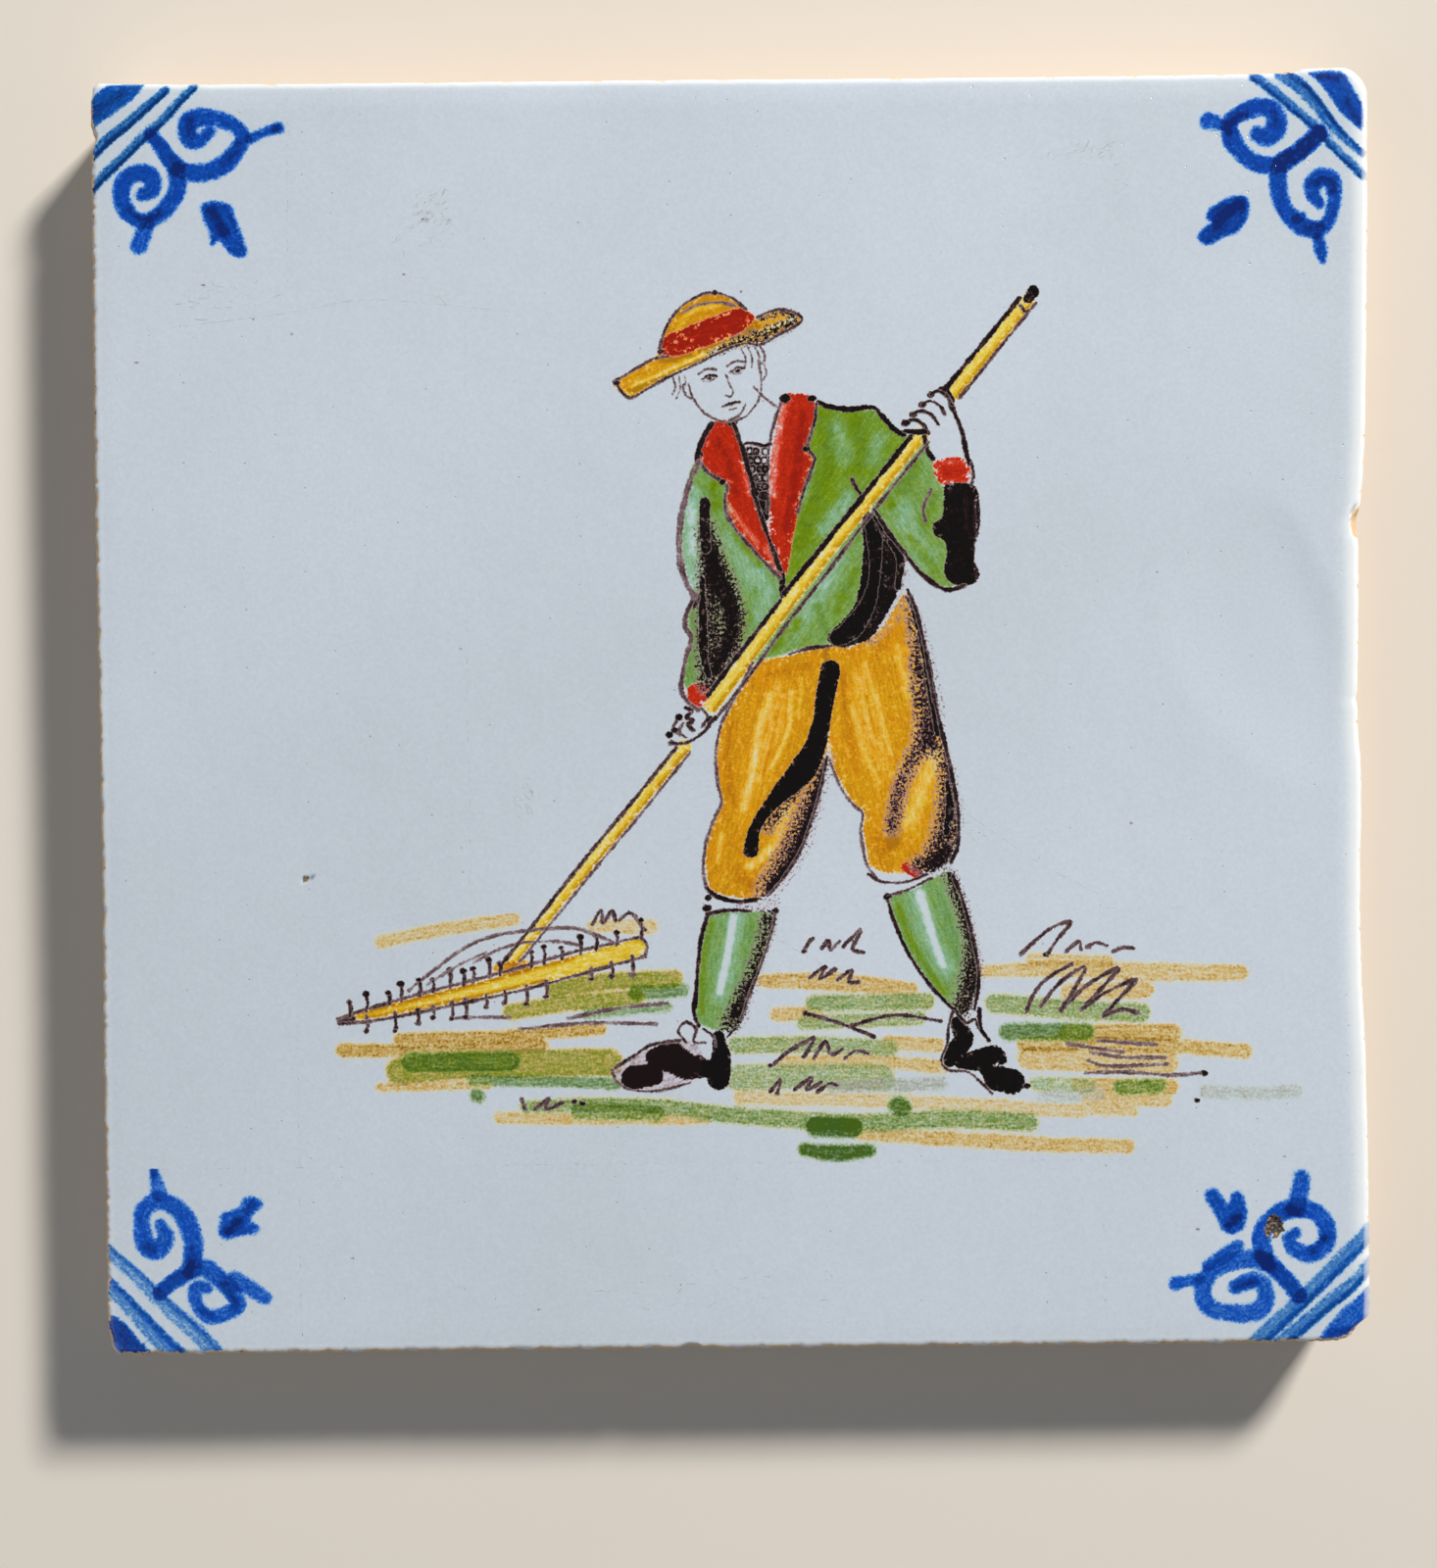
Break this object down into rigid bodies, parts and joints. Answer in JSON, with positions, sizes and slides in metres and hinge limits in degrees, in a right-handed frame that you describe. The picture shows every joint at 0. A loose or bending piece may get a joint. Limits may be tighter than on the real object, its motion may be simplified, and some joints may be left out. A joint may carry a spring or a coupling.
{
  "type": "delft tile",
  "caption": "Square hand-made tin-glazed earthenware wall tile with a painted farm hand holding a rake and blue corner ornaments, lying face up.",
  "frame": {"origin": "middle of the tile's bounding box, on the plane of the unglazed back", "axes": "+Z out of the glazed face, +Y to the painted picture's top, +X to its right"},
  "size_m": [0.1302, 0.13, 0.0105],
  "materials": {
    "tin_glaze": "glossy blue-white tin glaze, slightly uneven, over fired earthenware"
  },
  "bodies": {
    "root": {"delft_tile": "tin_glaze"}
  },
  "joints": []
}
